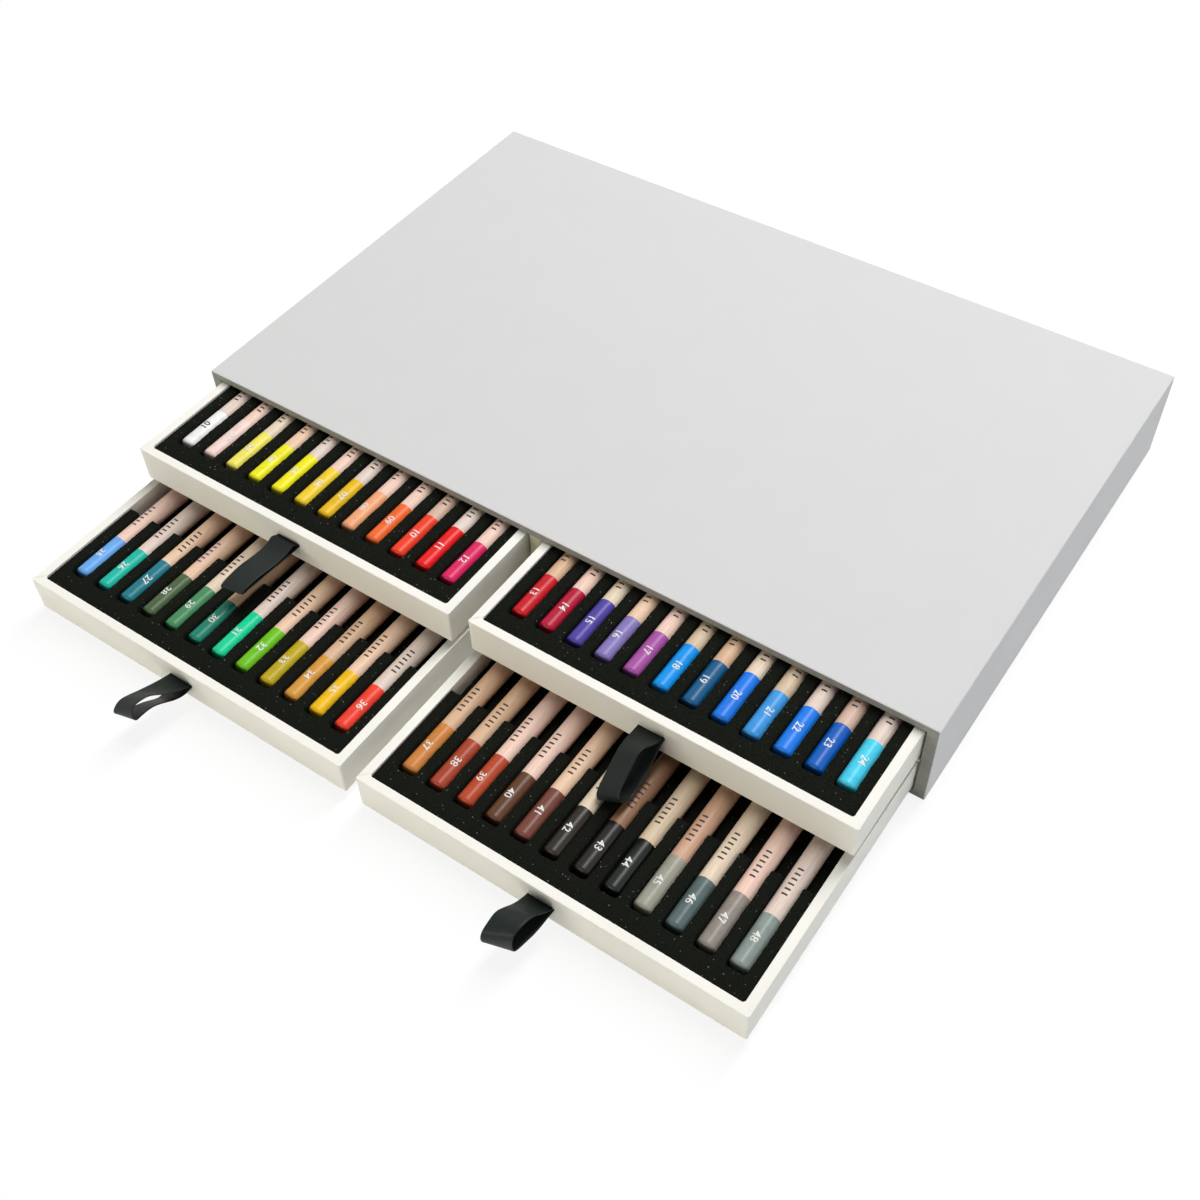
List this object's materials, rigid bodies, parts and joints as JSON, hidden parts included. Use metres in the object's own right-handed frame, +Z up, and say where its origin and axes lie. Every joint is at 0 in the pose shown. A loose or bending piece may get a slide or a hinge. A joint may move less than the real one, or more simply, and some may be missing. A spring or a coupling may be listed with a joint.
{
  "type": "drawer box of pastel pencils",
  "caption": "Flat paper-covered sleeve with sliding foam-lined pencil trays, side by side on two levels, each pulled by a ribbon loop.",
  "frame": {"origin": "middle of the sleeve's underside, on the surface it stands on", "axes": "+X to the right seen from the open front, +Y from the front to the closed back, +Z up; the trays slide out along -Y"},
  "size_m": [0.342, 0.3555, 0.042],
  "materials": {
    "grey_board": "matte",
    "cream_board": "matte",
    "black_foam": "matte",
    "black_satin": "satin",
    "cedar": "matte",
    "upper_left_lacquer": "gloss",
    "upper_left_pastel": "matte",
    "upper_right_lacquer": "gloss",
    "upper_right_pastel": "matte",
    "lower_left_lacquer": "gloss",
    "lower_left_pastel": "matte",
    "lower_right_lacquer": "gloss",
    "lower_right_pastel": "matte"
  },
  "bodies": {
    "sleeve": {"sleeve_top": "grey_board", "sleeve_bottom": "grey_board", "sleeve_left_wall": "grey_board", "sleeve_right_wall": "grey_board", "sleeve_back_wall": "grey_board", "centre_divider": "cream_board", "left_shelf": "cream_board", "right_shelf": "cream_board"},
    "upper_left_drawer": {"upper_left_drawer_floor": "cream_board", "upper_left_drawer_front": "cream_board", "upper_left_drawer_back": "cream_board", "upper_left_drawer_left_side": "cream_board", "upper_left_drawer_right_side": "cream_board", "upper_left_foam_base": "black_foam", "upper_left_foam_front": "black_foam", "upper_left_foam_rear": "black_foam", "upper_left_ribbon_pull": "black_satin", "upper_left_pencil_barrels": "cedar", "upper_left_dipped_ends": "upper_left_lacquer", "upper_left_pencil_points": "upper_left_pastel"},
    "upper_right_drawer": {"upper_right_drawer_floor": "cream_board", "upper_right_drawer_front": "cream_board", "upper_right_drawer_back": "cream_board", "upper_right_drawer_left_side": "cream_board", "upper_right_drawer_right_side": "cream_board", "upper_right_foam_base": "black_foam", "upper_right_foam_front": "black_foam", "upper_right_foam_rear": "black_foam", "upper_right_ribbon_pull": "black_satin", "upper_right_pencil_barrels": "cedar", "upper_right_dipped_ends": "upper_right_lacquer", "upper_right_pencil_points": "upper_right_pastel"},
    "lower_left_drawer": {"lower_left_drawer_floor": "cream_board", "lower_left_drawer_front": "cream_board", "lower_left_drawer_back": "cream_board", "lower_left_drawer_left_side": "cream_board", "lower_left_drawer_right_side": "cream_board", "lower_left_foam_base": "black_foam", "lower_left_foam_front": "black_foam", "lower_left_foam_rear": "black_foam", "lower_left_ribbon_pull": "black_satin", "lower_left_pencil_barrels": "cedar", "lower_left_dipped_ends": "lower_left_lacquer", "lower_left_pencil_points": "lower_left_pastel"},
    "lower_right_drawer": {"lower_right_drawer_floor": "cream_board", "lower_right_drawer_front": "cream_board", "lower_right_drawer_back": "cream_board", "lower_right_drawer_left_side": "cream_board", "lower_right_drawer_right_side": "cream_board", "lower_right_foam_base": "black_foam", "lower_right_foam_front": "black_foam", "lower_right_foam_rear": "black_foam", "lower_right_ribbon_pull": "black_satin", "lower_right_pencil_barrels": "cedar", "lower_right_dipped_ends": "lower_right_lacquer", "lower_right_pencil_points": "lower_right_pastel"}
  },
  "joints": [
    {"name": "upper_left_slide", "type": "slide", "parent": "sleeve", "child": "upper_left_drawer", "axis": [0, -1, 0], "range_m": [-0.0488, 0.1512]},
    {"name": "upper_right_slide", "type": "slide", "parent": "sleeve", "child": "upper_right_drawer", "axis": [0, -1, 0], "range_m": [-0.0472, 0.1528]},
    {"name": "lower_left_slide", "type": "slide", "parent": "sleeve", "child": "lower_left_drawer", "axis": [0, -1, 0], "range_m": [-0.1143, 0.0857]},
    {"name": "lower_right_slide", "type": "slide", "parent": "sleeve", "child": "lower_right_drawer", "axis": [0, -1, 0], "range_m": [-0.1148, 0.0852]}
  ]
}
